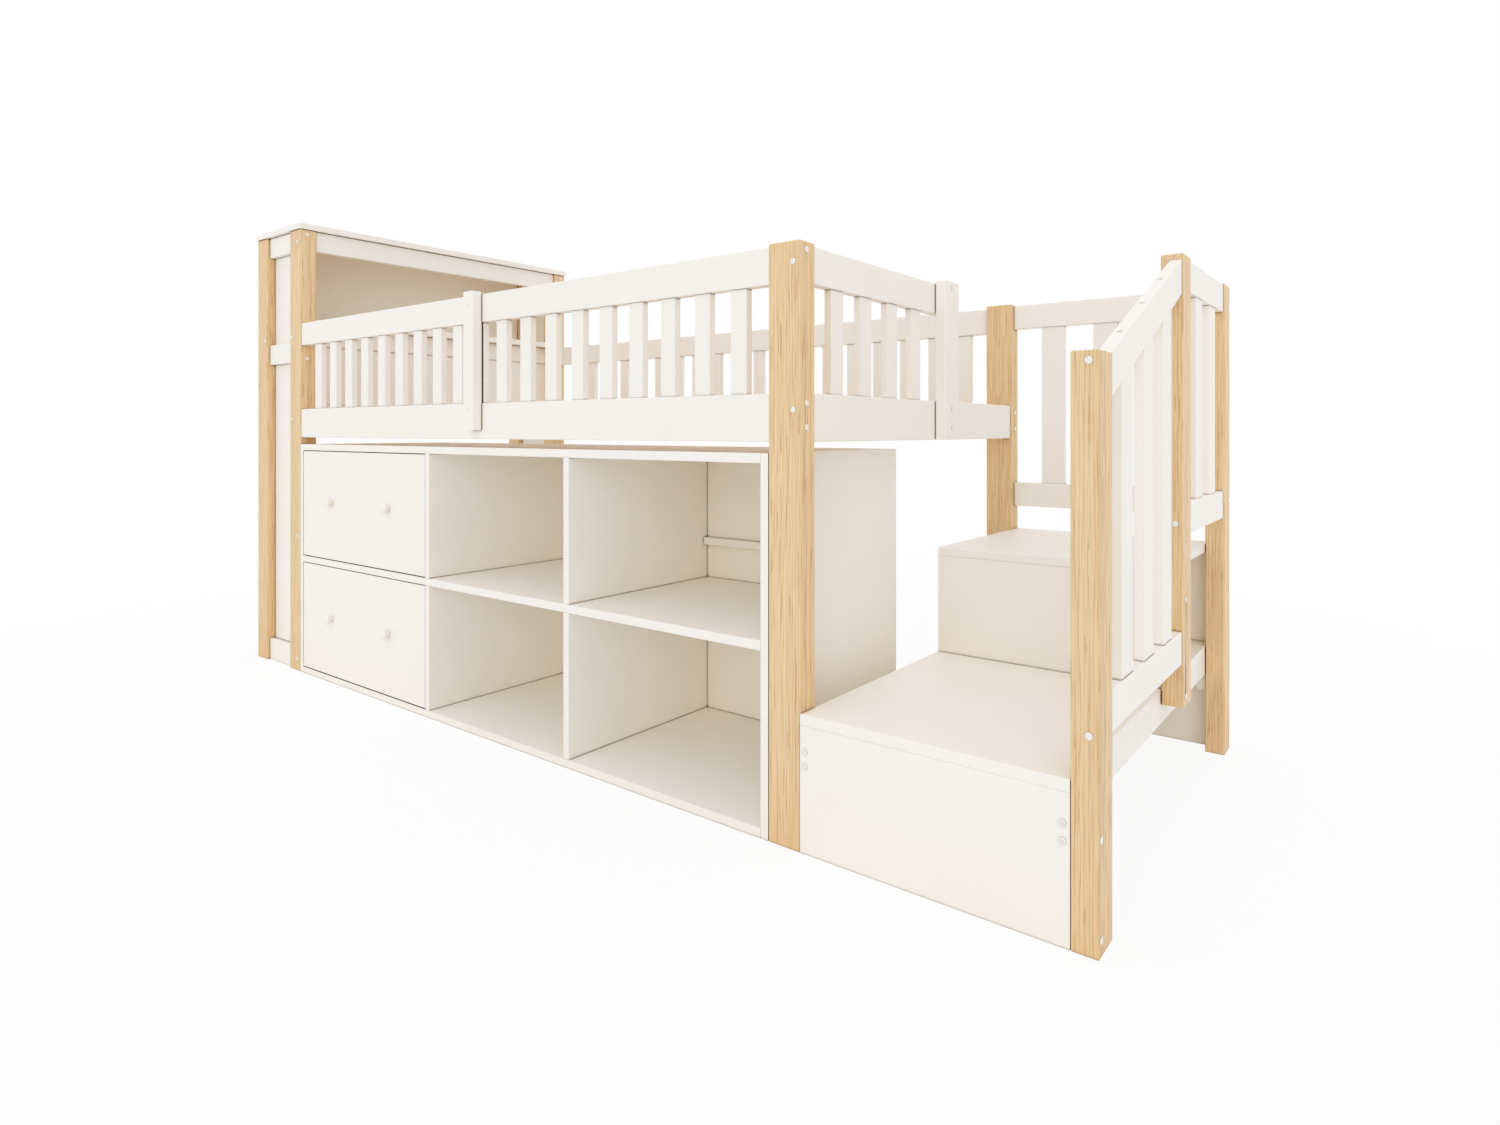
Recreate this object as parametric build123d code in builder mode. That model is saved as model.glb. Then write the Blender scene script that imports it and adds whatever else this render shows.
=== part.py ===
from build123d import *
from typing import NamedTuple
import os

os.makedirs("parts", exist_ok=True)

# Mid sleeper bed with a bookcase headboard, a storage cabinet under it and side stairs.
# X runs from the headboard to the stairs, Y from the front to the rear, Z up from the floor.
# The origin is on the floor below the middle of the whole bed. All sizes are millimetres.

# Bed well, for a 900 by 1900 mattress
BED_CLEAR_LENGTH = 1932.0
BED_CLEAR_WIDTH = 926.0

# Posts of the bed and of the stairs
BED_POST_X = 74.0
BED_POST_Y = 46.0
BED_POST_HEIGHT = 1108.0
HEAD_POST_HEIGHT = 1403.0
STAIR_POST_X = 43.0
STAIR_POST_Y = 64.0
ENTRY_POST_HEIGHT = 879.0
HANGING_POST_LOW = 222.0
POST_ARRIS = 2.0
POST_END_CHAMFER = 1.5

# Rails of the bed, all from one stock thickness
RAIL_T = 24.0
RAIL_SETBACK = 3.0
RAIL_ARRIS = 1.5
SIDE_RAIL_LOW = 741.0
SIDE_RAIL_H = 90.0
GUARD_RAIL_H = 70.0
GUARD_DROP = 5.0

# Balusters, housed in their rails with their whole section
BALUSTER_W = 41.0
BALUSTER_T = 15.0
BALUSTER_GAP = 56.0
BALUSTER_END_GAP = 60.0
HOUSING = 12.0
HOUSING_ROOM = 0.5
FIT = 0.15

# Uprights that brace the guards from outside
SIDE_UPRIGHT_W = 42.0
SIDE_UPRIGHT_T = 25.0
SIDE_UPRIGHT_LOW = 763.0
FOOT_GUARD_LENGTH = 464.0
FOOT_BALUSTER_COUNT = 4
FOOT_UPRIGHT_W = 66.0
FOOT_UPRIGHT_T = 28.0

# Slatted base
LEDGER_W = 20.0
LEDGER_H = 30.0
LEDGER_RISE = 4.0
SLAT_W = 70.0
SLAT_T = 18.0
SLAT_COUNT = 14
SLAT_END_ROOM = 1.0

# Bookcase headboard
HEAD_DEPTH = 319.0
TOP_BOARD_T = 19.0
TOP_OVERHANG = 5.0
TOP_EDGE = 2.0
HEAD_SIDE_SETBACK = 8.0
HEAD_TOP_RAIL_H = 65.0
HEAD_MIDDLE_RAIL_H = 65.0
HEAD_MIDDLE_RAIL_LOW = 982.0
HEAD_BOTTOM_RAIL_H = 69.0
SIDE_PANEL_SETBACK = 23.5
SIDE_PANEL_T = 6.0
PANEL_TONGUE = 5.0
FASCIA_SETBACK = 9.0
SHELF_TOP = 1121.0
SHELF_T = 19.0
SHELF_RAIL_H = 64.0
SHELF_RAIL_SETBACK = 3.0
SHELF_ROOM = 0.5
HEADBOARD_RAIL_LOW = 755.0
HEADBOARD_RAIL_H = 90.0
HEADBOARD_PANEL_T = 9.0
CROSS_RAIL_H = 65.0
MIDDLE_CROSS_RAIL_LOW = 396.0
BOTTOM_CROSS_RAIL_LOW = 4.0
BOOK_BACK_T = 9.0
BOOK_BACK_INSET = 6.0

# Storage cabinet
CABINET_HEAD_ROOM = 21.0
CABINET_DEPTH = 455.0
CABINET_PLAY = 0.5
BOARD_T = 19.0
DRAWER_COLUMN = 720.0
CABINET_BACK_T = 9.0
CABINET_BACK_INSET = 6.0
BACK_TONGUE = 6.0
BATTEN_LOW = 458.0
BATTEN_H = 19.0
BATTEN_T = 15.0

# Drawers on wooden runners
FRONT_T = 19.0
FRONT_GAP = 2.0
FRONT_EDGE = 1.5
DRAWER_SIDE_T = 15.0
DRAWER_SIDE_H = 250.0
DRAWER_SIDE_RISE = 25.0
DRAWER_DEPTH = 400.0
DRAWER_SIDE_ROOM = 6.0
DRAWER_BOTTOM_T = 6.0
DRAWER_BOTTOM_RISE = 10.0
DRAWER_BOTTOM_TONGUE = 5.0
RUNNER_H = 16.0
RUNNER_DEPTH = 6.5
RUNNER_RISE = 120.0
RUNNER_GAP = 0.3
RUNNER_FRONT = 30.0

# Mushroom knobs
KNOB_R = 14.0
KNOB_RIM = 2.5
KNOB_CROWN_H = 7.0
KNOB_FACE_R = 7.0
KNOB_FOOT_R = 9.0
KNOB_NECK_R = 6.5
KNOB_NECK = 6.0
KNOB_PROUD = 22.0
KNOB_SPREAD = 336.0
KNOB_RISE = 8.0

# Stairs
STAIR_WIDTH = 502.0
STAIR_BOARD_T = 19.0
LOWER_TREAD_TOP = 250.0
UPPER_TREAD_TOP = 492.0
LOWER_TREAD_GOING = 520.0
APRON_H = 48.0
BLOCK_X = 22.0
BLOCK_Y = 30.0
BLOCK_H = 90.0

# Guards of the stairs
STAIR_RAIL_H = 64.0
STAIR_GUARD_DROP = 3.0
STAIR_BALUSTER_W = 62.0
STAIR_BALUSTER_T = 17.0
HANGING_POST_Y = 511.0
ENTRY_RAIL_LOW = 306.0
LANDING_RAIL_LOW = 556.0
HANDRAIL_H = 70.0
HANDRAIL_DROP = 12.0
ENTRY_BALUSTER_COUNT = 3
LANDING_BALUSTER_COUNT = 2
REAR_BALUSTER_COUNT = 3

# Bolts that carry the bed's load from its rails into the posts
BOLT_R = 3.0
BOLT_HOLE_ROOM = 0.25
BOLT_HEAD_R = 6.0
BOLT_HEAD_H = 1.5
BOLT_REACH = 50.0
BOLT_TIP_ROOM = 0.5
SIDE_BOLT_IN = 20.0
SIDE_RAIL_BOLT_RISES = (27.0, 71.0)
FOOT_RAIL_BOLT_RISE = 59.0
RISER_BOLT_DROP = 41.5

# Planes along the length, worked out from the sizes above
OVERALL_LENGTH = (
    TOP_OVERHANG + HEAD_DEPTH + BED_CLEAR_LENGTH + BED_POST_X
    + STAIR_WIDTH + STAIR_POST_X + BOLT_HEAD_H
)
FOOT_X = OVERALL_LENGTH / 2 - BOLT_HEAD_H - STAIR_POST_X - STAIR_WIDTH
STAIR_X = FOOT_X + STAIR_WIDTH
FOOT_INNER_X = FOOT_X - BED_POST_X
HEAD_INNER_X = FOOT_INNER_X - BED_CLEAR_LENGTH
HEAD_OUTER_X = HEAD_INNER_X - HEAD_DEPTH

# Planes across the width and up the height
BED_WIDTH = BED_CLEAR_WIDTH + 2 * (RAIL_SETBACK + RAIL_T)
FRONT = -1
REAR = 1
SIDES = (FRONT, REAR)
FRONT_Y = -BED_WIDTH / 2
REAR_Y = BED_WIDTH / 2
GUARD_TOP = BED_POST_HEIGHT - GUARD_DROP
GUARD_LOW = GUARD_TOP - GUARD_RAIL_H
SIDE_RAIL_TOP = SIDE_RAIL_LOW + SIDE_RAIL_H
CABINET_HEIGHT = SIDE_RAIL_LOW - CABINET_HEAD_ROOM
STAIR_GUARD_TOP = BED_POST_HEIGHT - STAIR_GUARD_DROP
STAIR_GUARD_LOW = STAIR_GUARD_TOP - STAIR_RAIL_H
SHELF_LOW = SHELF_TOP - SHELF_T
SHELF_RAIL_LOW = SHELF_LOW - SHELF_RAIL_H

# Spans of the main members, each a pair of a low and a high value
HEAD_OUTER_POST = (HEAD_OUTER_X, HEAD_OUTER_X + BED_POST_X)
HEAD_INNER_POST = (HEAD_INNER_X - BED_POST_X, HEAD_INNER_X)
FOOT_POST = (FOOT_INNER_X, FOOT_X)
STAIR_POST = (STAIR_X, STAIR_X + STAIR_POST_X)
ENTRY_POST_SPAN = (FRONT_Y, FRONT_Y + STAIR_POST_Y)
HANGING_POST_SPAN = (FRONT_Y + HANGING_POST_Y, FRONT_Y + HANGING_POST_Y + STAIR_POST_Y)
REAR_POST_SPAN = (REAR_Y - STAIR_POST_Y, REAR_Y)
BETWEEN_BED_POSTS = (FRONT_Y + BED_POST_Y, REAR_Y - BED_POST_Y)
FOOT_RAIL = (FOOT_X - RAIL_SETBACK - RAIL_T, FOOT_X - RAIL_SETBACK)
FOOT_UPRIGHT_LOW_Y = FRONT_Y + BED_POST_Y + FOOT_GUARD_LENGTH
FOOT_UPRIGHT_SPAN = (FOOT_UPRIGHT_LOW_Y, FOOT_UPRIGHT_LOW_Y + FOOT_UPRIGHT_W)
STAIR_RAIL_HIGH_X = STAIR_POST[1] - RAIL_SETBACK
STAIR_RAIL = (STAIR_RAIL_HIGH_X - RAIL_T, STAIR_RAIL_HIGH_X)
STAIR_STEPS = (FOOT_X, STAIR_X)
FASCIA = (HEAD_INNER_X - FASCIA_SETBACK - RAIL_T, HEAD_INNER_X - FASCIA_SETBACK)
INNER_SHELF_RAIL_X = HEAD_INNER_POST[0] + SHELF_RAIL_SETBACK
INNER_SHELF_RAIL = (INNER_SHELF_RAIL_X, INNER_SHELF_RAIL_X + RAIL_T)
OUTER_SHELF_RAIL_X = HEAD_OUTER_POST[1] - SHELF_RAIL_SETBACK
OUTER_SHELF_RAIL = (OUTER_SHELF_RAIL_X - RAIL_T, OUTER_SHELF_RAIL_X)
BETWEEN_HEAD_POSTS = (HEAD_OUTER_POST[1], HEAD_INNER_POST[0])

# Side guard pattern, counted from the foot posts
SIDE_BALUSTER_PITCH = BALUSTER_W + BALUSTER_GAP
SIDE_BALUSTER_RUN = BED_CLEAR_LENGTH - 2 * BALUSTER_END_GAP - BALUSTER_W
SIDE_BALUSTER_COUNT = int(SIDE_BALUSTER_RUN // SIDE_BALUSTER_PITCH) + 1
FIRST_SIDE_BALUSTER_X = FOOT_INNER_X - BALUSTER_END_GAP - BALUSTER_W / 2
SIDE_BALUSTER_XS = [
    FIRST_SIDE_BALUSTER_X - n * SIDE_BALUSTER_PITCH for n in range(SIDE_BALUSTER_COUNT)
]
SIDE_UPRIGHT_X = SIDE_BALUSTER_XS[SIDE_BALUSTER_COUNT // 2]

# Sloping handrail from the entry post up to the hanging post
HANDRAIL_RUN = HANGING_POST_SPAN[0] - ENTRY_POST_SPAN[1]
HANDRAIL_RISE = BED_POST_HEIGHT - HANDRAIL_DROP - ENTRY_POST_HEIGHT


def middle(span):
    """Half way between the two values of a span."""
    return (span[0] + span[1]) / 2


def inward(side, depth):
    """Y at a depth in from the front or the rear face of the bed."""
    return side * (BED_WIDTH / 2 - depth)


def inward_span(side, near, far):
    """Y span between two depths in from the front or the rear face."""
    return tuple(sorted((inward(side, near), inward(side, far))))


def even_centres(span, count, width):
    """Centres of members of one width that leave equal gaps in a span."""
    gap = (span[1] - span[0] - count * width) / (count + 1)
    return [span[0] + gap + width / 2 + n * (gap + width) for n in range(count)]


def handrail_top(y):
    """Height of the handrail's top edge at a place along its run."""
    return ENTRY_POST_HEIGHT + (y - ENTRY_POST_SPAN[1]) * HANDRAIL_RISE / HANDRAIL_RUN


class Bolt(NamedTuple):
    """A bolt: the plane its head sits on, Z pointing out, and its length below the head."""

    seat: Plane
    length: float


def bolt(x, y, z, out, length):
    """A bolt that enters at a point and runs against its outward direction."""
    return Bolt(Plane(origin=(x, y, z), z_dir=out), length)


def frame_bolts():
    """Bolts through the posts into the side rails, the foot rail and the stair boards."""
    bolts = []
    rail_middle = RAIL_SETBACK + RAIL_T / 2
    along = BED_POST_X + BOLT_REACH
    across = BED_POST_Y + BOLT_REACH
    foot_rail_z = SIDE_RAIL_LOW + FOOT_RAIL_BOLT_RISE
    for side in SIDES:
        for rise in SIDE_RAIL_BOLT_RISES:
            z = SIDE_RAIL_LOW + rise
            bolts.append(bolt(FOOT_X, inward(side, SIDE_BOLT_IN), z, (1, 0, 0), along))
            head_y = inward(side, rail_middle)
            bolts.append(bolt(HEAD_INNER_POST[0], head_y, z, (-1, 0, 0), along))
        bolts.append(
            bolt(middle(FOOT_RAIL), inward(side, 0), foot_rail_z, (0, side, 0), across)
        )
    half_board = STAIR_BOARD_T / 2
    riser_y = FRONT_Y + LOWER_TREAD_GOING + half_board
    riser_z = UPPER_TREAD_TOP - STAIR_BOARD_T - RISER_BOLT_DROP
    for z in (LOWER_TREAD_TOP - half_board, riser_z):
        bolts.append(bolt(STAIR_POST[1], riser_y, z, (1, 0, 0), STAIR_POST_X + BOLT_REACH))
    return bolts


BOLTS = frame_bolts()


def slab(x, y, z, mode=Mode.ADD):
    """A square-edged block between spans of X, Y and Z."""
    with Locations((middle(x), middle(y), middle(z))):
        Box(abs(x[1] - x[0]), abs(y[1] - y[0]), abs(z[1] - z[0]), mode=mode)


def bar(x, y, z, along):
    """A block between spans of X, Y and Z with the edges along one axis eased."""
    if along == Axis.X:
        plane = Plane(origin=(x[0], middle(y), middle(z)), x_dir=(0, 1, 0), z_dir=(1, 0, 0))
        width, height, length = y[1] - y[0], z[1] - z[0], x[1] - x[0]
    elif along == Axis.Y:
        plane = Plane(origin=(middle(x), y[1], middle(z)), x_dir=(1, 0, 0), z_dir=(0, -1, 0))
        width, height, length = x[1] - x[0], z[1] - z[0], y[1] - y[0]
    else:
        plane = Plane(origin=(middle(x), middle(y), z[0]), x_dir=(1, 0, 0), z_dir=(0, 0, 1))
        width, height, length = x[1] - x[0], y[1] - y[0], z[1] - z[0]
    with BuildSketch(plane) as section:
        Rectangle(width, height)
        chamfer(section.vertices(), RAIL_ARRIS)
    extrude(section.sketch, amount=length)


def drill(piece):
    """Bore the piece for every bolt that passes through its box."""
    box = piece.part.bounding_box()
    low = tuple(box.min)
    high = tuple(box.max)
    for fastener in BOLTS:
        start = fastener.seat.origin
        tip = start - fastener.seat.z_dir * fastener.length
        ends = zip(tuple(start), tuple(tip), low, high)
        if all(min(a, b) < top and max(a, b) > bottom for a, b, bottom, top in ends):
            with Locations(fastener.seat):
                Hole(BOLT_R + BOLT_HOLE_ROOM, fastener.length + BOLT_TIP_ROOM)


def finish(piece, name):
    """Name a finished sub-part and write it out."""
    piece.part.label = name
    export_step(piece.part, f"parts/{name}.step")


# Posts


def panel_grooves(face_x, out):
    """Stopped grooves down a head post for the edges of the bookcase side panels."""
    zones = (
        (HEAD_BOTTOM_RAIL_H, HEAD_MIDDLE_RAIL_LOW),
        (HEAD_MIDDLE_RAIL_LOW + HEAD_MIDDLE_RAIL_H, HEAD_POST_HEIGHT - HEAD_TOP_RAIL_H),
    )
    depth = PANEL_TONGUE + HOUSING_ROOM
    for side in SIDES:
        groove_y = inward_span(
            side, SIDE_PANEL_SETBACK - FIT, SIDE_PANEL_SETBACK + SIDE_PANEL_T + FIT
        )
        for low, high in zones:
            slab((face_x, face_x - out * depth), groove_y, (low - depth, high + depth), Mode.SUBTRACT)


def bed_post(name, x, side, height, groove_face=None, groove_out=0):
    """A post of the bed at the front or rear, grooved where it holds side panels."""
    y = inward_span(side, 0, BED_POST_Y)
    with BuildPart() as post:
        with BuildSketch() as section:
            with Locations((middle(x), middle(y))):
                Rectangle(BED_POST_X, BED_POST_Y)
            chamfer(section.vertices(), POST_ARRIS)
        extrude(amount=height)
        chamfer(post.faces().sort_by(Axis.Z)[-1].edges(), POST_END_CHAMFER)
        if groove_face is not None:
            panel_grooves(groove_face, groove_out)
        drill(post)
    finish(post, name)


def stair_post(name, y, low, high):
    """A post of the stairs between two heights."""
    with BuildPart() as post:
        with BuildSketch(Plane.XY.offset(low)) as section:
            with Locations((middle(STAIR_POST), middle(y))):
                Rectangle(STAIR_POST_X, STAIR_POST_Y)
            chamfer(section.vertices(), POST_ARRIS)
        extrude(amount=high - low)
        chamfer(post.faces().sort_by(Axis.Z)[-1].edges(), POST_END_CHAMFER)
        drill(post)
    finish(post, name)


for side_name, side in (("front", FRONT), ("rear", REAR)):
    bed_post(
        f"head_post_{side_name}_outer", HEAD_OUTER_POST, side, HEAD_POST_HEIGHT,
        HEAD_OUTER_POST[1], 1,
    )
    bed_post(
        f"head_post_{side_name}_inner", HEAD_INNER_POST, side, HEAD_POST_HEIGHT,
        HEAD_INNER_POST[0], -1,
    )
    bed_post(f"foot_post_{side_name}", FOOT_POST, side, BED_POST_HEIGHT)

stair_post("stair_post_entry", ENTRY_POST_SPAN, 0, ENTRY_POST_HEIGHT)
stair_post("stair_post_hanging", HANGING_POST_SPAN, HANGING_POST_LOW, BED_POST_HEIGHT)
stair_post("stair_post_rear", REAR_POST_SPAN, 0, BED_POST_HEIGHT)


# Side guards of the bed


def housings(centres, size_x, size_y, face_z, up):
    """Pockets for baluster ends, sunk up or down from a rail's face."""
    align_z = Align.MIN if up else Align.MAX
    with Locations(*[(x, y, face_z) for x, y in centres]):
        Box(
            size_x + 2 * FIT, size_y + 2 * FIT, HOUSING + HOUSING_ROOM,
            align=(Align.CENTER, Align.CENTER, align_z), mode=Mode.SUBTRACT,
        )


for side_name, side in (("front", FRONT), ("rear", REAR)):
    rail_y = inward_span(side, RAIL_SETBACK, RAIL_SETBACK + RAIL_T)
    bay = (HEAD_INNER_X, FOOT_INNER_X)
    baluster_centres = [(x, middle(rail_y)) for x in SIDE_BALUSTER_XS]

    with BuildPart() as guard_top_rail:
        bar(bay, rail_y, (GUARD_LOW, GUARD_TOP), Axis.X)
        housings(baluster_centres, BALUSTER_W, BALUSTER_T, GUARD_LOW, True)
    finish(guard_top_rail, f"{side_name}_guard_top_rail")

    with BuildPart() as side_rail:
        bar(bay, rail_y, (SIDE_RAIL_LOW, SIDE_RAIL_TOP), Axis.X)
        housings(baluster_centres, BALUSTER_W, BALUSTER_T, SIDE_RAIL_TOP, False)
        drill(side_rail)
    finish(side_rail, f"{side_name}_side_rail")

    with BuildPart() as guard_balusters:
        with BuildSketch(Plane.XY.offset(SIDE_RAIL_TOP - HOUSING)):
            with Locations(*baluster_centres):
                Rectangle(BALUSTER_W, BALUSTER_T)
        extrude(amount=GUARD_LOW - SIDE_RAIL_TOP + 2 * HOUSING)
    finish(guard_balusters, f"{side_name}_guard_balusters")


# Foot end, guarded as far as the entrance from the stairs

foot_bay = (BETWEEN_BED_POSTS[0], FOOT_UPRIGHT_SPAN[0])
foot_centres = [
    (middle(FOOT_RAIL), y) for y in even_centres(foot_bay, FOOT_BALUSTER_COUNT, BALUSTER_W)
]

with BuildPart() as foot_guard_top_rail:
    bar(FOOT_RAIL, (BETWEEN_BED_POSTS[0], FOOT_UPRIGHT_SPAN[1]), (GUARD_LOW, GUARD_TOP), Axis.Y)
    housings(foot_centres, BALUSTER_T, BALUSTER_W, GUARD_LOW, True)
finish(foot_guard_top_rail, "foot_guard_top_rail")

with BuildPart() as foot_end_rail:
    bar(FOOT_RAIL, BETWEEN_BED_POSTS, (SIDE_RAIL_LOW, SIDE_RAIL_TOP), Axis.Y)
    housings(foot_centres, BALUSTER_T, BALUSTER_W, SIDE_RAIL_TOP, False)
    drill(foot_end_rail)
finish(foot_end_rail, "foot_end_rail")

with BuildPart() as foot_guard_balusters:
    with BuildSketch(Plane.XY.offset(SIDE_RAIL_TOP - HOUSING)):
        with Locations(*foot_centres):
            Rectangle(BALUSTER_T, BALUSTER_W)
    extrude(amount=GUARD_LOW - SIDE_RAIL_TOP + 2 * HOUSING)
finish(foot_guard_balusters, "foot_guard_balusters")


# Uprights that brace the two side guards and end the foot guard

with BuildPart() as side_guard_uprights:
    upright_x = (SIDE_UPRIGHT_X - SIDE_UPRIGHT_W / 2, SIDE_UPRIGHT_X + SIDE_UPRIGHT_W / 2)
    for side in SIDES:
        upright_y = inward_span(side, RAIL_SETBACK - SIDE_UPRIGHT_T, RAIL_SETBACK)
        bar(upright_x, upright_y, (SIDE_UPRIGHT_LOW, BED_POST_HEIGHT), Axis.Z)
finish(side_guard_uprights, "side_guard_uprights")

with BuildPart() as foot_guard_upright:
    bar(
        (FOOT_RAIL[1], FOOT_RAIL[1] + FOOT_UPRIGHT_T), FOOT_UPRIGHT_SPAN,
        (SIDE_RAIL_LOW, BED_POST_HEIGHT), Axis.Z,
    )
finish(foot_guard_upright, "foot_guard_upright")


# Slatted base on ledgers screwed to the side rails

ledger_low = SIDE_RAIL_LOW + LEDGER_RISE
slat_low = ledger_low + LEDGER_H

with BuildPart() as slat_ledgers:
    for side in SIDES:
        depth = RAIL_SETBACK + RAIL_T
        slab(
            (HEAD_INNER_X, FOOT_INNER_X), inward_span(side, depth, depth + LEDGER_W),
            (ledger_low, slat_low),
        )
finish(slat_ledgers, "slat_ledgers")

with BuildPart() as bed_slats:
    slat_y = (-BED_CLEAR_WIDTH / 2 + SLAT_END_ROOM, BED_CLEAR_WIDTH / 2 - SLAT_END_ROOM)
    for x in even_centres((HEAD_INNER_X, FOOT_INNER_X), SLAT_COUNT, SLAT_W):
        bar((x - SLAT_W / 2, x + SLAT_W / 2), slat_y, (slat_low, slat_low + SLAT_T), Axis.Y)
finish(bed_slats, "bed_slats")


# Bookcase headboard: framed and panelled sides

HEAD_SIDE_RAIL_SPANS = (
    (0.0, HEAD_BOTTOM_RAIL_H),
    (HEAD_MIDDLE_RAIL_LOW, HEAD_MIDDLE_RAIL_LOW + HEAD_MIDDLE_RAIL_H),
    (HEAD_POST_HEIGHT - HEAD_TOP_RAIL_H, HEAD_POST_HEIGHT),
)


def side_panel_span(low_rail, high_rail, grow):
    """Z span of a panel between two rails, plus what is let into each of them."""
    return (low_rail[1] - grow, high_rail[0] + grow)


def side_panels(x_grow, z_grow, side_grow, mode):
    """The bookcase side panels, or the grooves they need when grown and subtracted."""
    x = (BETWEEN_HEAD_POSTS[0] - x_grow, BETWEEN_HEAD_POSTS[1] + x_grow)
    for side in SIDES:
        near = SIDE_PANEL_SETBACK - side_grow
        far = SIDE_PANEL_SETBACK + SIDE_PANEL_T + side_grow
        y = inward_span(side, near, far)
        for low_rail, high_rail in zip(HEAD_SIDE_RAIL_SPANS, HEAD_SIDE_RAIL_SPANS[1:]):
            slab(x, y, side_panel_span(low_rail, high_rail, z_grow), mode)


with BuildPart() as head_side_rails:
    for side in SIDES:
        rail_y = inward_span(side, HEAD_SIDE_SETBACK, HEAD_SIDE_SETBACK + RAIL_T)
        for rail_z in HEAD_SIDE_RAIL_SPANS:
            bar(BETWEEN_HEAD_POSTS, rail_y, rail_z, Axis.X)
    side_panels(0, PANEL_TONGUE + HOUSING_ROOM, FIT, Mode.SUBTRACT)
finish(head_side_rails, "head_side_rails")

with BuildPart() as head_side_panels:
    side_panels(PANEL_TONGUE, PANEL_TONGUE, 0, Mode.ADD)
finish(head_side_panels, "head_side_panels")


# Bookcase headboard: cross rails and the headboard panel

with BuildPart() as head_fascia_rail:
    bar(FASCIA, BETWEEN_BED_POSTS, HEAD_SIDE_RAIL_SPANS[2], Axis.Y)
finish(head_fascia_rail, "head_fascia_rail")


def headboard_panel_block(grow, tongue, mode):
    """The headboard panel, or the groove it needs when grown and subtracted."""
    centre = middle(INNER_SHELF_RAIL)
    half = HEADBOARD_PANEL_T / 2 + grow
    z = (HEADBOARD_RAIL_LOW + HEADBOARD_RAIL_H - tongue, SHELF_RAIL_LOW + tongue)
    slab((centre - half, centre + half), BETWEEN_BED_POSTS, z, mode)


with BuildPart() as shelf_support_rails:
    for rail_x in (INNER_SHELF_RAIL, OUTER_SHELF_RAIL):
        bar(rail_x, BETWEEN_BED_POSTS, (SHELF_RAIL_LOW, SHELF_LOW), Axis.Y)
    headboard_panel_block(FIT, PANEL_TONGUE + HOUSING_ROOM, Mode.SUBTRACT)
finish(shelf_support_rails, "shelf_support_rails")

with BuildPart() as headboard_panel:
    headboard_panel_block(0, PANEL_TONGUE, Mode.ADD)
finish(headboard_panel, "headboard_panel")

with BuildPart() as headboard_rail:
    bar(
        INNER_SHELF_RAIL, BETWEEN_BED_POSTS,
        (HEADBOARD_RAIL_LOW, HEADBOARD_RAIL_LOW + HEADBOARD_RAIL_H), Axis.Y,
    )
    headboard_panel_block(FIT, PANEL_TONGUE + HOUSING_ROOM, Mode.SUBTRACT)
finish(headboard_rail, "headboard_rail")

with BuildPart() as head_cross_rails:
    for rail_low in (BOTTOM_CROSS_RAIL_LOW, MIDDLE_CROSS_RAIL_LOW):
        bar(FASCIA, BETWEEN_BED_POSTS, (rail_low, rail_low + CROSS_RAIL_H), Axis.Y)
finish(head_cross_rails, "head_cross_rails")


# Bookcase headboard: compartment boards


def book_back(grow, tongue, mode):
    """The compartment's back panel, or its groove when grown and subtracted."""
    low_x = OUTER_SHELF_RAIL[0] + BOOK_BACK_INSET
    x = (low_x - grow, low_x + BOOK_BACK_T + grow)
    slab(x, BETWEEN_BED_POSTS, (SHELF_TOP - tongue, HEAD_POST_HEIGHT + tongue), mode)


with BuildPart() as bookcase_shelf:
    between_posts = (BETWEEN_BED_POSTS[0] + SHELF_ROOM, BETWEEN_BED_POSTS[1] - SHELF_ROOM)
    wide_y = SIDE_PANEL_SETBACK + SIDE_PANEL_T + SHELF_ROOM
    slab((OUTER_SHELF_RAIL[0], FASCIA[1]), between_posts, (SHELF_LOW, SHELF_TOP))
    slab(
        (BETWEEN_HEAD_POSTS[0] + SHELF_ROOM, BETWEEN_HEAD_POSTS[1] - SHELF_ROOM),
        (inward(FRONT, wide_y), inward(REAR, wide_y)), (SHELF_LOW, SHELF_TOP),
    )
    chamfer(bookcase_shelf.edges().filter_by(Axis.Y).sort_by(Axis.X)[-2:], RAIL_ARRIS)
    book_back(FIT, PANEL_TONGUE + HOUSING_ROOM, Mode.SUBTRACT)
finish(bookcase_shelf, "bookcase_shelf")

with BuildPart() as bookcase_back_panel:
    book_back(0, PANEL_TONGUE, Mode.ADD)
finish(bookcase_back_panel, "bookcase_back_panel")

with BuildPart() as bookcase_top:
    with BuildSketch(Plane.XY.offset(HEAD_POST_HEIGHT)):
        with Locations((middle((HEAD_OUTER_X, HEAD_INNER_X)), 0)):
            Rectangle(HEAD_DEPTH + 2 * TOP_OVERHANG, BED_WIDTH + 2 * TOP_OVERHANG)
    extrude(amount=TOP_BOARD_T)
    chamfer(bookcase_top.edges().filter_by(Axis.Z), TOP_EDGE)
    chamfer(bookcase_top.faces().sort_by(Axis.Z)[-1].edges(), TOP_EDGE)
    book_back(FIT, PANEL_TONGUE + HOUSING_ROOM, Mode.SUBTRACT)
finish(bookcase_top, "bookcase_top")


# Storage cabinet

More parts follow.
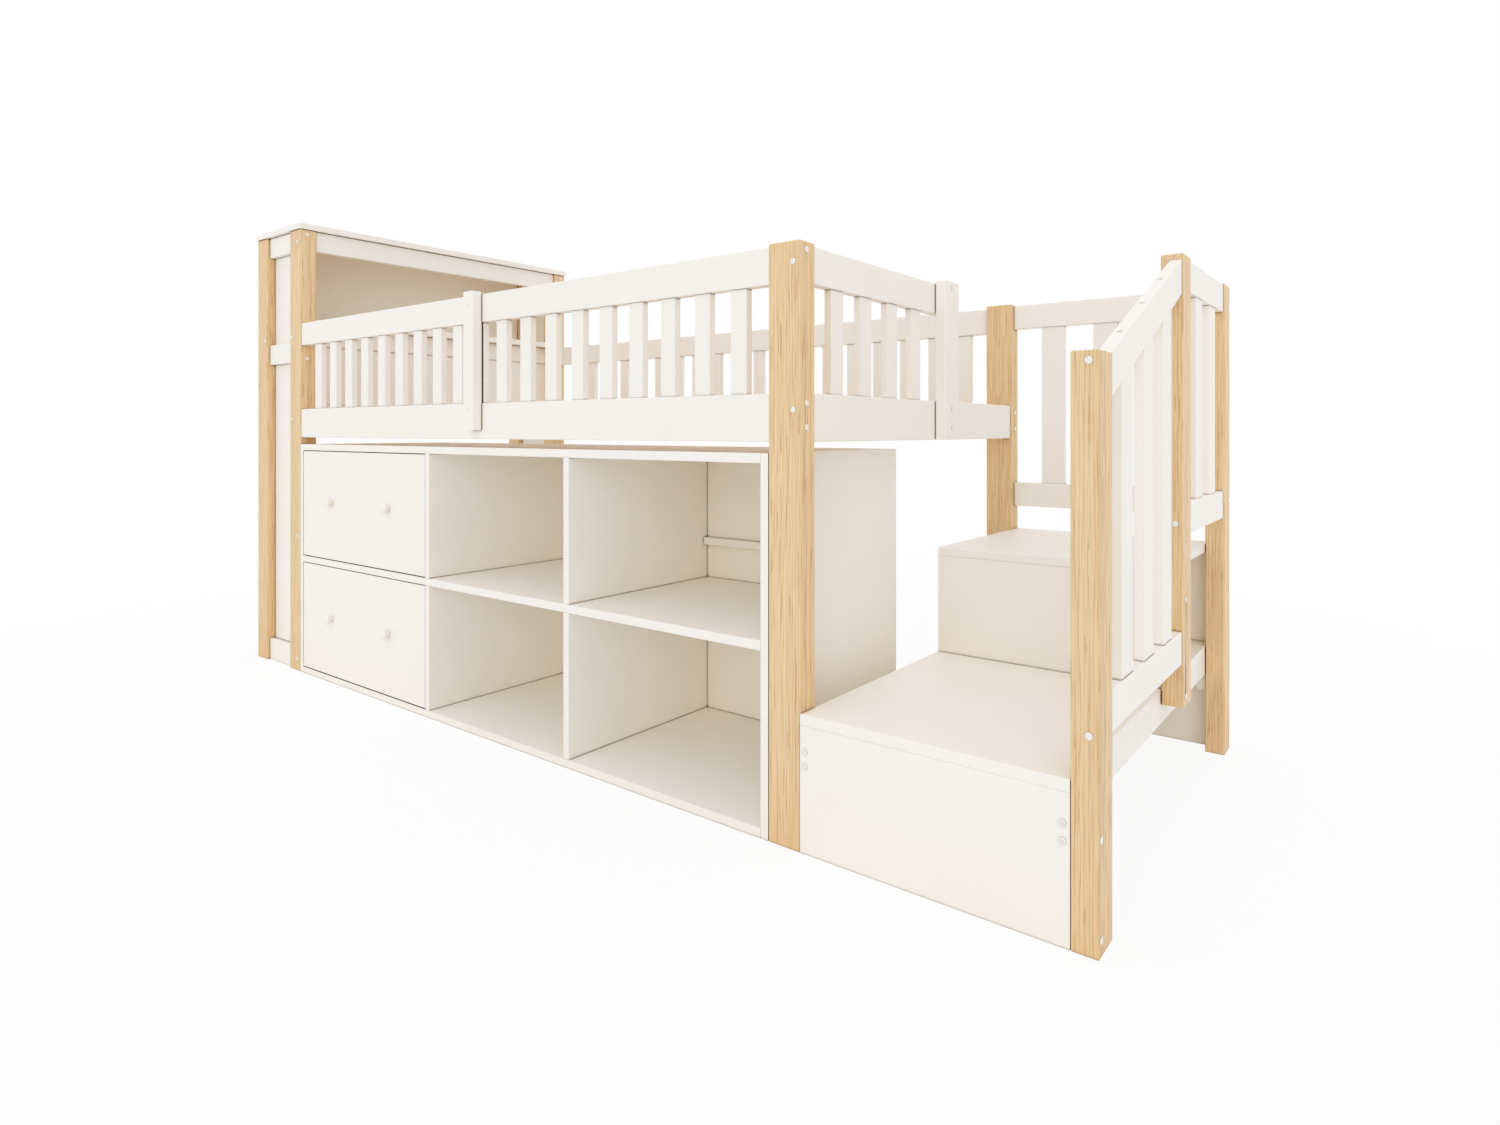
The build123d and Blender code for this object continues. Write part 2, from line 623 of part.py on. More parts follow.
CABINET_X = (HEAD_INNER_X + CABINET_PLAY, FOOT_INNER_X - CABINET_PLAY)
CABINET_INSIDE_X = (CABINET_X[0] + BOARD_T, CABINET_X[1] - BOARD_T)
OPEN_COLUMN = (CABINET_INSIDE_X[1] - CABINET_INSIDE_X[0] - DRAWER_COLUMN - 2 * BOARD_T) / 2
FIRST_DIVIDER_X = CABINET_INSIDE_X[0] + DRAWER_COLUMN
SECOND_DIVIDER_X = FIRST_DIVIDER_X + BOARD_T + OPEN_COLUMN
CABINET_Y = (FRONT_Y, FRONT_Y + CABINET_DEPTH)
CABINET_BACK_Y = CABINET_Y[1] - CABINET_BACK_INSET - CABINET_BACK_T
MIDDLE_SHELF_LOW = (CABINET_HEIGHT - BOARD_T) / 2
LOWER_ROW = (BOARD_T, MIDDLE_SHELF_LOW)
UPPER_ROW = (MIDDLE_SHELF_LOW + BOARD_T, CABINET_HEIGHT - BOARD_T)


def cabinet_back(grow, tongue, mode):
    """The cabinet's back panel, or its groove when grown and subtracted."""
    slab(
        (CABINET_INSIDE_X[0] - tongue, CABINET_INSIDE_X[1] + tongue),
        (CABINET_BACK_Y - grow, CABINET_BACK_Y + CABINET_BACK_T + grow),
        (BOARD_T - tongue, CABINET_HEIGHT - BOARD_T + tongue), mode,
    )


def cabinet_board(name, x, z):
    """An outer board of the cabinet, its full depth and grooved for the back."""
    with BuildPart() as outer_board:
        slab(x, CABINET_Y, z)
        cabinet_back(FIT, BACK_TONGUE + HOUSING_ROOM, Mode.SUBTRACT)
    finish(outer_board, name)


cabinet_board("cabinet_left_side", (CABINET_X[0], CABINET_INSIDE_X[0]), (0, CABINET_HEIGHT))
cabinet_board("cabinet_right_side", (CABINET_INSIDE_X[1], CABINET_X[1]), (0, CABINET_HEIGHT))
cabinet_board("cabinet_top", CABINET_INSIDE_X, (CABINET_HEIGHT - BOARD_T, CABINET_HEIGHT))
cabinet_board("cabinet_bottom", CABINET_INSIDE_X, (0, BOARD_T))

with BuildPart() as cabinet_middle_shelf:
    slab(
        CABINET_INSIDE_X, (CABINET_Y[0], CABINET_BACK_Y),
        (MIDDLE_SHELF_LOW, MIDDLE_SHELF_LOW + BOARD_T),
    )
finish(cabinet_middle_shelf, "cabinet_middle_shelf")

with BuildPart() as cabinet_dividers:
    for divider_x in (FIRST_DIVIDER_X, SECOND_DIVIDER_X):
        for row in (LOWER_ROW, UPPER_ROW):
            slab((divider_x, divider_x + BOARD_T), (CABINET_Y[0], CABINET_BACK_Y), row)
finish(cabinet_dividers, "cabinet_dividers")

with BuildPart() as cabinet_back_panel:
    cabinet_back(0, BACK_TONGUE, Mode.ADD)
finish(cabinet_back_panel, "cabinet_back_panel")

with BuildPart() as cabinet_back_battens:
    for column_low in (FIRST_DIVIDER_X + BOARD_T, SECOND_DIVIDER_X + BOARD_T):
        slab(
            (column_low, column_low + OPEN_COLUMN), (CABINET_BACK_Y - BATTEN_T, CABINET_BACK_Y),
            (BATTEN_LOW, BATTEN_LOW + BATTEN_H),
        )
finish(cabinet_back_battens, "cabinet_back_battens")


# Drawers: each side board has a long groove that slides on a wooden runner

DRAWER_COLUMN_X = (CABINET_INSIDE_X[0], FIRST_DIVIDER_X)
DRAWER_BOX_X = (DRAWER_COLUMN_X[0] + DRAWER_SIDE_ROOM, DRAWER_COLUMN_X[1] - DRAWER_SIDE_ROOM)
DRAWER_INNER_X = (DRAWER_BOX_X[0] + DRAWER_SIDE_T, DRAWER_BOX_X[1] - DRAWER_SIDE_T)
FRONT_BACK_Y = FRONT_Y + FRONT_T
DRAWER_END_Y = FRONT_BACK_Y + DRAWER_DEPTH


def runner_span(row, grow):
    """Z span of a runner in a row of the cabinet, or of its groove when grown."""
    low = row[0] + FRONT_GAP + RUNNER_RISE
    return (low - grow, low + RUNNER_H + grow)


with BuildPart() as drawer_runners:
    width = DRAWER_SIDE_ROOM + RUNNER_DEPTH
    runner_y = (FRONT_Y + RUNNER_FRONT, CABINET_BACK_Y)
    for row in (LOWER_ROW, UPPER_ROW):
        bar((DRAWER_COLUMN_X[0], DRAWER_COLUMN_X[0] + width), runner_y, runner_span(row, 0), Axis.Y)
        bar((DRAWER_COLUMN_X[1] - width, DRAWER_COLUMN_X[1]), runner_y, runner_span(row, 0), Axis.Y)
finish(drawer_runners, "drawer_runners")


def knob_centres(row):
    """X and Z of the two knobs of a drawer front."""
    z = middle(row) + KNOB_RISE
    x = middle(DRAWER_COLUMN_X)
    return [(x - KNOB_SPREAD / 2, z), (x + KNOB_SPREAD / 2, z)]


def drawer_bottom_block(row, grow, tongue, mode):
    """A drawer's bottom panel, or its groove when grown and subtracted."""
    low = row[0] + FRONT_GAP + DRAWER_SIDE_RISE + DRAWER_BOTTOM_RISE
    slab(
        (DRAWER_INNER_X[0] - tongue, DRAWER_INNER_X[1] + tongue),
        (FRONT_BACK_Y - tongue, DRAWER_END_Y - DRAWER_SIDE_T + tongue),
        (low - grow, low + DRAWER_BOTTOM_T + grow), mode,
    )


def drawer(prefix, row):
    """The front, box, bottom and knobs of the drawer in one row of the cabinet."""
    front_z = (row[0] + FRONT_GAP, row[1] - FRONT_GAP)
    side_z = (front_z[0] + DRAWER_SIDE_RISE, front_z[0] + DRAWER_SIDE_RISE + DRAWER_SIDE_H)
    groove = DRAWER_BOTTOM_TONGUE + HOUSING_ROOM

    with BuildPart() as front:
        slab(
            (DRAWER_COLUMN_X[0] + FRONT_GAP, DRAWER_COLUMN_X[1] - FRONT_GAP),
            (FRONT_Y, FRONT_BACK_Y), front_z,
        )
        chamfer(front.faces().sort_by(Axis.Y)[0].edges(), FRONT_EDGE)
        drawer_bottom_block(row, FIT, groove, Mode.SUBTRACT)
    finish(front, f"{prefix}_drawer_front")

    with BuildPart() as box:
        for side_x in (
            (DRAWER_BOX_X[0], DRAWER_INNER_X[0]),
            (DRAWER_INNER_X[1], DRAWER_BOX_X[1]),
        ):
            slab(side_x, (FRONT_BACK_Y, DRAWER_END_Y), side_z)
        for face_x, inner_x in (
            (DRAWER_BOX_X[0], DRAWER_BOX_X[0] + RUNNER_DEPTH + RUNNER_GAP),
            (DRAWER_BOX_X[1] - RUNNER_DEPTH - RUNNER_GAP, DRAWER_BOX_X[1]),
        ):
            slab(
                (face_x, inner_x), (FRONT_BACK_Y, DRAWER_END_Y),
                runner_span(row, RUNNER_GAP), Mode.SUBTRACT,
            )
        slab(
            (DRAWER_INNER_X[0] + FIT, DRAWER_INNER_X[1] - FIT),
            (DRAWER_END_Y - DRAWER_SIDE_T, DRAWER_END_Y), side_z,
        )
        drawer_bottom_block(row, FIT, groove, Mode.SUBTRACT)
    finish(box, f"{prefix}_drawer_box")

    with BuildPart() as bottom:
        drawer_bottom_block(row, 0, DRAWER_BOTTOM_TONGUE, Mode.ADD)
    finish(bottom, f"{prefix}_drawer_bottom")

    with BuildPart() as knobs:
        for x, z in knob_centres(row):
            with BuildSketch(Plane(origin=(x, FRONT_Y, z), x_dir=(1, 0, 0), z_dir=(0, 0, 1))):
                with BuildLine():
                    Polyline(
                        (0, 0), (KNOB_FOOT_R, 0), (KNOB_NECK_R, -KNOB_NECK),
                        (KNOB_R, KNOB_CROWN_H + KNOB_RIM - KNOB_PROUD),
                        (KNOB_R, KNOB_CROWN_H - KNOB_PROUD),
                        (KNOB_FACE_R, -KNOB_PROUD), (0, -KNOB_PROUD), close=True,
                    )
                make_face()
            revolve(axis=Axis((x, FRONT_Y, z), (0, 1, 0)))
    finish(knobs, f"{prefix}_drawer_knobs")


drawer("upper", UPPER_ROW)
drawer("lower", LOWER_ROW)


# Stairs: boards

LOWER_TREAD_LOW = LOWER_TREAD_TOP - STAIR_BOARD_T
UPPER_TREAD_LOW = UPPER_TREAD_TOP - STAIR_BOARD_T
RISER_Y = (FRONT_Y + LOWER_TREAD_GOING, FRONT_Y + LOWER_TREAD_GOING + STAIR_BOARD_T)
REAR_PANEL_Y = (REAR_Y - STAIR_BOARD_T, REAR_Y)

with BuildPart() as stair_front_panel:
    slab(STAIR_STEPS, (FRONT_Y, FRONT_Y + STAIR_BOARD_T), (0, LOWER_TREAD_LOW))
finish(stair_front_panel, "stair_front_panel")

with BuildPart() as stair_lower_tread:
    slab(STAIR_STEPS, (FRONT_Y, REAR_PANEL_Y[0]), (LOWER_TREAD_LOW, LOWER_TREAD_TOP))
    front_edges = stair_lower_tread.faces().sort_by(Axis.Y)[0].edges().filter_by(Axis.X)
    chamfer(front_edges.sort_by(Axis.Z)[-1], RAIL_ARRIS)
    drill(stair_lower_tread)
finish(stair_lower_tread, "stair_lower_tread")

with BuildPart() as stair_riser:
    slab(STAIR_STEPS, RISER_Y, (LOWER_TREAD_TOP, UPPER_TREAD_LOW))
    drill(stair_riser)
finish(stair_riser, "stair_riser")

with BuildPart() as stair_upper_tread:
    slab(STAIR_STEPS, (RISER_Y[0], REAR_Y), (UPPER_TREAD_LOW, UPPER_TREAD_TOP))
    front_edges = stair_upper_tread.faces().sort_by(Axis.Y)[0].edges().filter_by(Axis.X)
    chamfer(front_edges.sort_by(Axis.Z)[-1], RAIL_ARRIS)
finish(stair_upper_tread, "stair_upper_tread")

with BuildPart() as stair_rear_panel:
    slab(STAIR_STEPS, REAR_PANEL_Y, (0, UPPER_TREAD_LOW))
finish(stair_rear_panel, "stair_rear_panel")

CORNER_BLOCK_YS = (
    (FRONT_Y + STAIR_BOARD_T, FRONT_Y + STAIR_BOARD_T + BLOCK_Y),
    (REAR_PANEL_Y[0] - BLOCK_Y, REAR_PANEL_Y[0]),
)

with BuildPart() as stair_corner_blocks:
    for block_x in ((FOOT_X, FOOT_X + BLOCK_X), (STAIR_X - BLOCK_X, STAIR_X)):
        for block_y in CORNER_BLOCK_YS:
            slab(block_x, block_y, (LOWER_TREAD_LOW - BLOCK_H, LOWER_TREAD_LOW))
finish(stair_corner_blocks, "stair_corner_blocks")

with BuildPart() as stair_aprons:
    apron_y = (CORNER_BLOCK_YS[0][1], CORNER_BLOCK_YS[1][0])
    for apron_x in ((FOOT_X, FOOT_X + STAIR_BOARD_T), (STAIR_X - STAIR_BOARD_T, STAIR_X)):
        slab(apron_x, apron_y, (LOWER_TREAD_LOW - APRON_H, LOWER_TREAD_LOW))
finish(stair_aprons, "stair_aprons")


# Stairs: guards with broad balusters

ENTRY_BAY = (ENTRY_POST_SPAN[1], HANGING_POST_SPAN[0])
LANDING_BAY = (HANGING_POST_SPAN[1], REAR_POST_SPAN[0])
REAR_RAIL_Y = inward_span(REAR, RAIL_SETBACK, RAIL_SETBACK + RAIL_T)
ENTRY_CENTRES = even_centres(ENTRY_BAY, ENTRY_BALUSTER_COUNT, STAIR_BALUSTER_W)
LANDING_CENTRES = [
    (middle(STAIR_RAIL), y)
    for y in even_centres(LANDING_BAY, LANDING_BALUSTER_COUNT, STAIR_BALUSTER_W)
]
REAR_CENTRES = [
    (x, middle(REAR_RAIL_Y))
    for x in even_centres(STAIR_STEPS, REAR_BALUSTER_COUNT, STAIR_BALUSTER_W)
]
ENTRY_RAIL_TOP = ENTRY_RAIL_LOW + STAIR_RAIL_H
LANDING_RAIL_TOP = LANDING_RAIL_LOW + STAIR_RAIL_H


def raked_baluster(y, grow):
    """Corners, in Y and Z, of an entry baluster whose head follows the handrail."""
    near = y - STAIR_BALUSTER_W / 2 - grow
    far = y + STAIR_BALUSTER_W / 2 + grow
    let_in = HOUSING - HANDRAIL_H + grow
    low = ENTRY_RAIL_TOP - HOUSING
    return [
        (near, low), (far, low), (far, handrail_top(far) + let_in),
        (near, handrail_top(near) + let_in),
    ]


def rail_middle_plane(offset):
    """The YZ plane through the middle of the outer stair rails, moved along X."""
    return Plane(
        origin=(middle(STAIR_RAIL) + offset, 0, 0), x_dir=(0, 1, 0), z_dir=(1, 0, 0)
    )


with BuildPart() as stair_handrail:
    with BuildSketch(rail_middle_plane(-RAIL_T / 2)):
        with BuildLine():
            Polyline(
                (ENTRY_BAY[0], handrail_top(ENTRY_BAY[0]) - HANDRAIL_H),
                (ENTRY_BAY[1], handrail_top(ENTRY_BAY[1]) - HANDRAIL_H),
                (ENTRY_BAY[1], handrail_top(ENTRY_BAY[1])),
                (ENTRY_BAY[0], handrail_top(ENTRY_BAY[0])),
                close=True,
            )
        make_face()
    extrude(amount=RAIL_T)
    slope = Axis((0, 0, 0), (0, HANDRAIL_RUN, HANDRAIL_RISE))
    chamfer(stair_handrail.edges().filter_by(slope), RAIL_ARRIS)
    with BuildSketch(rail_middle_plane(-STAIR_BALUSTER_T / 2 - FIT)):
        for y in ENTRY_CENTRES:
            with BuildLine():
                Polyline(*raked_baluster(y, FIT), close=True)
            make_face()
    extrude(amount=STAIR_BALUSTER_T + 2 * FIT, mode=Mode.SUBTRACT)
finish(stair_handrail, "stair_handrail")

with BuildPart() as stair_guard_rails:
    bar(STAIR_RAIL, ENTRY_BAY, (ENTRY_RAIL_LOW, ENTRY_RAIL_TOP), Axis.Y)
    for rail_z in ((LANDING_RAIL_LOW, LANDING_RAIL_TOP), (STAIR_GUARD_LOW, STAIR_GUARD_TOP)):
        bar(STAIR_RAIL, LANDING_BAY, rail_z, Axis.Y)
        bar(STAIR_STEPS, REAR_RAIL_Y, rail_z, Axis.X)
    entry_points = [(middle(STAIR_RAIL), y) for y in ENTRY_CENTRES]
    housings(entry_points, STAIR_BALUSTER_T, STAIR_BALUSTER_W, ENTRY_RAIL_TOP, False)
    housings(LANDING_CENTRES, STAIR_BALUSTER_T, STAIR_BALUSTER_W, LANDING_RAIL_TOP, False)
    housings(LANDING_CENTRES, STAIR_BALUSTER_T, STAIR_BALUSTER_W, STAIR_GUARD_LOW, True)
    housings(REAR_CENTRES, STAIR_BALUSTER_W, STAIR_BALUSTER_T, LANDING_RAIL_TOP, False)
    housings(REAR_CENTRES, STAIR_BALUSTER_W, STAIR_BALUSTER_T, STAIR_GUARD_LOW, True)
finish(stair_guard_rails, "stair_guard_rails")

with BuildPart() as stair_guard_balusters:
    with BuildSketch(rail_middle_plane(-STAIR_BALUSTER_T / 2)):
        for y in ENTRY_CENTRES:
            with BuildLine():
                Polyline(*raked_baluster(y, 0), close=True)
            make_face()
    extrude(amount=STAIR_BALUSTER_T)
    with BuildSketch(Plane.XY.offset(LANDING_RAIL_TOP - HOUSING)):
        with Locations(*LANDING_CENTRES):
            Rectangle(STAIR_BALUSTER_T, STAIR_BALUSTER_W)
        with Locations(*REAR_CENTRES):
            Rectangle(STAIR_BALUSTER_W, STAIR_BALUSTER_T)
    extrude(amount=STAIR_GUARD_LOW - LANDING_RAIL_TOP + 2 * HOUSING)
finish(stair_guard_balusters, "stair_guard_balusters")


# Bolts with round white heads that sit on the posts

with BuildPart() as frame_bolt_set:
    for fastener in BOLTS:
        with Locations(fastener.seat):
            Cylinder(BOLT_R, fastener.length, align=(Align.CENTER, Align.CENTER, Align.MAX))
            Cylinder(BOLT_HEAD_R, BOLT_HEAD_H, align=(Align.CENTER, Align.CENTER, Align.MIN))
finish(frame_bolt_set, "frame_bolts")
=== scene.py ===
from math import cos, pi, radians, sin

import bmesh
import bpy
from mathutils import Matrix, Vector


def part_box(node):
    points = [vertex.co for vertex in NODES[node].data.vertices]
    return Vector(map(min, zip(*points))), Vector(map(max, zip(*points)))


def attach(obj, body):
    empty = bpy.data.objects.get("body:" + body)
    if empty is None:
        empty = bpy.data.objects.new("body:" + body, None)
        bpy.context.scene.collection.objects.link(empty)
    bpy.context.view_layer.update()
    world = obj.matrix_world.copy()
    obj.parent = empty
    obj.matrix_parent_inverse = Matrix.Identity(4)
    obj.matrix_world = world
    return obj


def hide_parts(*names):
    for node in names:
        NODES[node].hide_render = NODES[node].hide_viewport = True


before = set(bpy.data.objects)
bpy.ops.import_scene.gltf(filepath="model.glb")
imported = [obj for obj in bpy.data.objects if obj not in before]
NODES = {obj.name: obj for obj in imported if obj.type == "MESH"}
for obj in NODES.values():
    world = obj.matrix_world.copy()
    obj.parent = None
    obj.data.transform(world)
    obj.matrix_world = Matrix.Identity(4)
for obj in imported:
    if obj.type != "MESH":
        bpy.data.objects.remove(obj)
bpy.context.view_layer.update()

MM = 0.001
X, Y, Z = range(3)


# Node helpers

def cleared(block):
    """The emptied node tree of a material or a world."""
    block.use_nodes = True
    block.node_tree.nodes.clear()
    return block.node_tree


def new_material(name):
    mat = bpy.data.materials.new(name)
    tree = cleared(mat)
    out = tree.nodes.new("ShaderNodeOutputMaterial")
    shader = tree.nodes.new("ShaderNodeBsdfPrincipled")
    tree.links.new(shader.outputs[0], out.inputs[0])
    return mat, tree, shader


def add(tree, kind, **values):
    """A node with its sockets and settings given by name."""
    node = tree.nodes.new(kind)
    for key, value in values.items():
        if key in node.inputs:
            node.inputs[key].default_value = value
        else:
            setattr(node, key, value)
    return node


def mapped(tree, scale, shift=(0, 0, 0)):
    """Row-frame coordinates, stretched and shifted."""
    coord = tree.nodes.new("ShaderNodeTexCoord")
    mapping = tree.nodes.new("ShaderNodeMapping")
    mapping.inputs["Scale"].default_value = scale
    mapping.inputs["Location"].default_value = shift
    tree.links.new(coord.outputs["Object"], mapping.inputs["Vector"])
    return mapping.outputs[0]


def drawn_out(axis, share):
    """A scale that draws a pattern out along one axis."""
    return tuple(share if name == axis else 1 for name in "XYZ")


def noise(tree, vector, scale, detail=3.0, rough=0.5):
    node = add(tree, "ShaderNodeTexNoise", Scale=scale, Detail=detail, Roughness=rough)
    tree.links.new(vector, node.inputs["Vector"])
    return node.outputs["Fac"]


def ramp(tree, fac, *stops):
    node = tree.nodes.new("ShaderNodeValToRGB")
    elements = node.color_ramp.elements
    while len(elements) < len(stops):
        elements.new(1.0)
    for element, (place, colour) in zip(elements, stops):
        element.position = place
        element.color = (*colour, 1)
    tree.links.new(fac, node.inputs[0])
    return node.outputs[0]


def mix(tree, fac, a, b, how="MIX"):
    node = tree.nodes.new("ShaderNodeMix")
    node.data_type = "RGBA"
    node.blend_type = how
    for socket, value in ((node.inputs[0], fac), (node.inputs[6], a), (node.inputs[7], b)):
        if isinstance(value, (int, float)):
            socket.default_value = value
        elif isinstance(value, tuple):
            socket.default_value = (*value, 1)
        else:
            tree.links.new(value, socket)
    return node.outputs[2]


def times(tree, base, tint):
    return mix(tree, 1.0, base, tint, "MULTIPLY")


def bump(tree, shader, height, strength, distance):
    node = add(tree, "ShaderNodeBump", Strength=strength, Distance=distance)
    tree.links.new(height, node.inputs["Height"])
    tree.links.new(node.outputs[0], shader.inputs["Normal"])


def grey(value):
    return (value,) * 3


def tinted(colour, tint):
    return tuple(c * k for c, k in zip(colour, tint))


# Painted shade near other faces

# Reach of the painted shade in joints and crevices
JOINT_AND_SHADE_REACH = 0.0075
# Reach of the warm painted shade inside the bays and under the boards
DEPTH_SHADE_REACH = 0.35
OPEN = grey(1)


def closeness(tree, reach, samples, *stops):
    """Painted shade: a tint by how much of the space within reach other faces take up: low stops
    are closest.
    """
    near = add(tree, "ShaderNodeAmbientOcclusion", Distance=reach, samples=samples)
    return ramp(tree, near.outputs["AO"], *stops)


def joint_lines_and_crevice_shade(tree):
    """Painted shade: dark within a few millimetres of a joint or a crevice, which also stands for
    the dark joint lines.
    """
    return closeness(
        tree, JOINT_AND_SHADE_REACH, 6, (0.30, (0.16, 0.12, 0.09)), (0.52, (0.40, 0.34, 0.28)), (0.72, OPEN)
    )


def depth_shade(tree, deep, tint, clear):
    """Painted shade: warmer inside the bays and under the boards, where other faces close in."""
    return closeness(tree, DEPTH_SHADE_REACH, 4, (deep, tint), (clear, OPEN))


# Finishes

CLOUD_TINT = (0.988, 0.983, 0.972)
GRAIN_TINT = (0.95, 0.935, 0.90)
# Tints of the warm painted shade inside the bays and under the boards
PAINT_DEPTH_SHADE = (1.0, 0.955, 0.865)
PINE_DEPTH_SHADE = (0.96, 0.87, 0.72)
PINE_LIGHT = (0.865, 0.650, 0.392)
PINE_DARK = (0.640, 0.410, 0.195)


def paint(name, colour, axis, rough=0.42, grain=0.10):
    """Satin paint whose brush marks and hidden grain run along one axis."""
    mat, tree, shader = new_material(name)
    cloud = noise(tree, mapped(tree, (1, 1, 1)), 5.0, 4.0)
    base = ramp(tree, cloud, (0.30, tinted(colour, CLOUD_TINT)), (0.62, colour))
    fibre = noise(tree, mapped(tree, drawn_out(axis, 0.05)), 160.0, 4.0, 0.6)
    lines = ramp(tree, fibre, (0.36, grey(grain)), (0.52, grey(0)))
    base = mix(tree, lines, base, tinted(colour, GRAIN_TINT))
    # Painted shade in joints and crevices
    base = times(tree, base, joint_lines_and_crevice_shade(tree))
    # Warm painted shade inside the bays and under the boards
    base = times(tree, base, depth_shade(tree, 0.10, PAINT_DEPTH_SHADE, 0.58))
    tree.links.new(base, shader.inputs["Base Color"])
    skin = noise(tree, mapped(tree, (1, 1, 1)), 420.0, 2.0)
    sheen = ramp(tree, skin, (0.3, grey(rough - 0.05)), (0.7, grey(rough + 0.07)))
    tree.links.new(sheen, shader.inputs["Roughness"])
    shader.inputs["IOR"].default_value = 1.46
    bump(tree, shader, mix(tree, 0.35, fibre, skin), 0.10, 0.0004)
    return mat


def pine(name, axis, shift, light=PINE_LIGHT, dark=PINE_DARK):
    """Lacquered pine: growth rings about a pith outside the piece, drawn out along it."""
    mat, tree, shader = new_material(name)
    along = drawn_out(axis, 0.035)
    rings = add(
        tree, "ShaderNodeTexWave", wave_type="RINGS", rings_direction=axis,
        wave_profile="SAW", Scale=46.0, Distortion=6.5, Detail=2.5,
        **{"Detail Scale": 5.0, "Detail Roughness": 0.45},
    )
    tree.links.new(mapped(tree, along, shift), rings.inputs["Vector"])
    middle = tuple((a * 2 + b) / 3 for a, b in zip(light, dark))
    wood = ramp(
        tree, rings.outputs["Fac"],
        (0.0, light), (0.50, light), (0.78, middle), (0.93, dark), (1.0, light),
    )
    broad = noise(tree, mapped(tree, along, shift), 16.0, 3.0)
    warm = ramp(tree, broad, (0.32, (0.93, 0.90, 0.85)), (0.66, OPEN))
    wood = mix(tree, 0.8, wood, warm, "MULTIPLY")
    fibre = noise(tree, mapped(tree, drawn_out(axis, 0.012), shift), 900.0, 3.0, 0.6)
    pores = ramp(tree, fibre, (0.34, (0.84, 0.78, 0.69)), (0.56, OPEN))
    wood = mix(tree, 0.7, wood, pores, "MULTIPLY")
    # Painted shade in joints and crevices
    wood = times(tree, wood, joint_lines_and_crevice_shade(tree))
    # Warm painted shade inside the bays and under the boards
    wood = times(tree, wood, depth_shade(tree, 0.20, PINE_DEPTH_SHADE, 0.80))
    tree.links.new(wood, shader.inputs["Base Color"])
    gloss = ramp(tree, fibre, (0.3, grey(0.40)), (0.7, grey(0.52)))
    tree.links.new(gloss, shader.inputs["Roughness"])
    bump(tree, shader, mix(tree, 0.5, rings.outputs["Fac"], fibre), 0.12, 0.0003)
    return mat


# Materials of the CAD nodes

WHITE = (0.915, 0.892, 0.860)
PAINTS = {axis: paint(f"white_paint_{axis.lower()}", WHITE, axis) for axis in "XYZ"}
BOARD = paint("white_hardboard", (0.925, 0.893, 0.842), "Z", 0.5, 0.04)
PANEL = paint("white_board", (0.917, 0.895, 0.864), "X", 0.45, 0.03)
ALONG = {
    "X": (
        "front_guard_top_rail", "rear_guard_top_rail", "front_side_rail", "rear_side_rail",
        "head_side_rails",
    ),
    "Y": (
        "foot_guard_top_rail", "foot_end_rail", "head_fascia_rail", "shelf_support_rails",
        "headboard_rail", "head_cross_rails", "stair_handrail", "stair_guard_rails",
        "bookcase_top", "bookcase_shelf", "headboard_panel", "stair_aprons",
    ),
    "Z": (
        "front_guard_balusters", "rear_guard_balusters", "foot_guard_balusters",
        "stair_guard_balusters", "side_guard_uprights", "foot_guard_upright",
        "head_side_panels", "stair_corner_blocks",
    ),
}
HARDBOARD = (
    "upper_drawer_bottom", "lower_drawer_bottom", "cabinet_back_panel", "bookcase_back_panel",
)
POSTS = (
    "head_post_front_outer", "head_post_front_inner", "head_post_rear_outer",
    "head_post_rear_inner", "foot_post_front", "foot_post_rear", "stair_post_entry",
    "stair_post_hanging", "stair_post_rear",
)
# The pith's distance from a post's axis, and its change from post to post, so that no two match
PITH_X = 0.052
PITH_X_STEP = 0.007
PITH_Y = 0.040
PITH_Y_STEP = -0.011
PITH_Z_STEP = 0.31
RAW = {"light": (0.83, 0.66, 0.44), "dark": (0.70, 0.51, 0.30)}


def centre(node, axis):
    low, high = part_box(node)
    return (low[axis] + high[axis]) / 2


FINISH = {node: PAINTS[axis] for axis, nodes in ALONG.items() for node in nodes}
FINISH.update({node: BOARD for node in HARDBOARD})
for count, node in enumerate(POSTS):
    pith = (
        -centre(node, X) + PITH_X + PITH_X_STEP * (count % 3),
        -centre(node, Y) + PITH_Y + PITH_Y_STEP * (count % 4),
        PITH_Z_STEP * count,
    )
    FINISH[node] = pine(f"pine_{node}", "Z", pith)
FINISH["bed_slats"] = pine("pine_slats", "Y", (0.08, 0.3, -0.74), **RAW)
FINISH["slat_ledgers"] = pine("pine_ledgers", "X", (0.2, 0.51, -0.71), **RAW)
FINISH["drawer_runners"] = pine("pine_runners", "Y", (0.11, 0.2, -0.2), **RAW)


# Finish and eased edges of each CAD node

EDGE_ROUND = 0.0009
EDGE_STEPS = 2
EDGE_ANGLE = radians(30)
SAME_PLACE = 0.00001
REDRAWN = ("frame_bolts", "upper_drawer_knobs", "lower_drawer_knobs")


def finish(obj, mat):
    if not obj.material_slots:
        obj.data.materials.append(mat)
        return
    for place in obj.material_slots:
        place.material = mat


def ease_edges(obj):
    weld = obj.modifiers.new("weld", "WELD")
    weld.merge_threshold = SAME_PLACE
    edge = obj.modifiers.new("eased_edges", "BEVEL")
    edge.width = EDGE_ROUND
    edge.segments = EDGE_STEPS
    edge.limit_method = "ANGLE"
    edge.angle_limit = EDGE_ANGLE
    edge.harden_normals = True


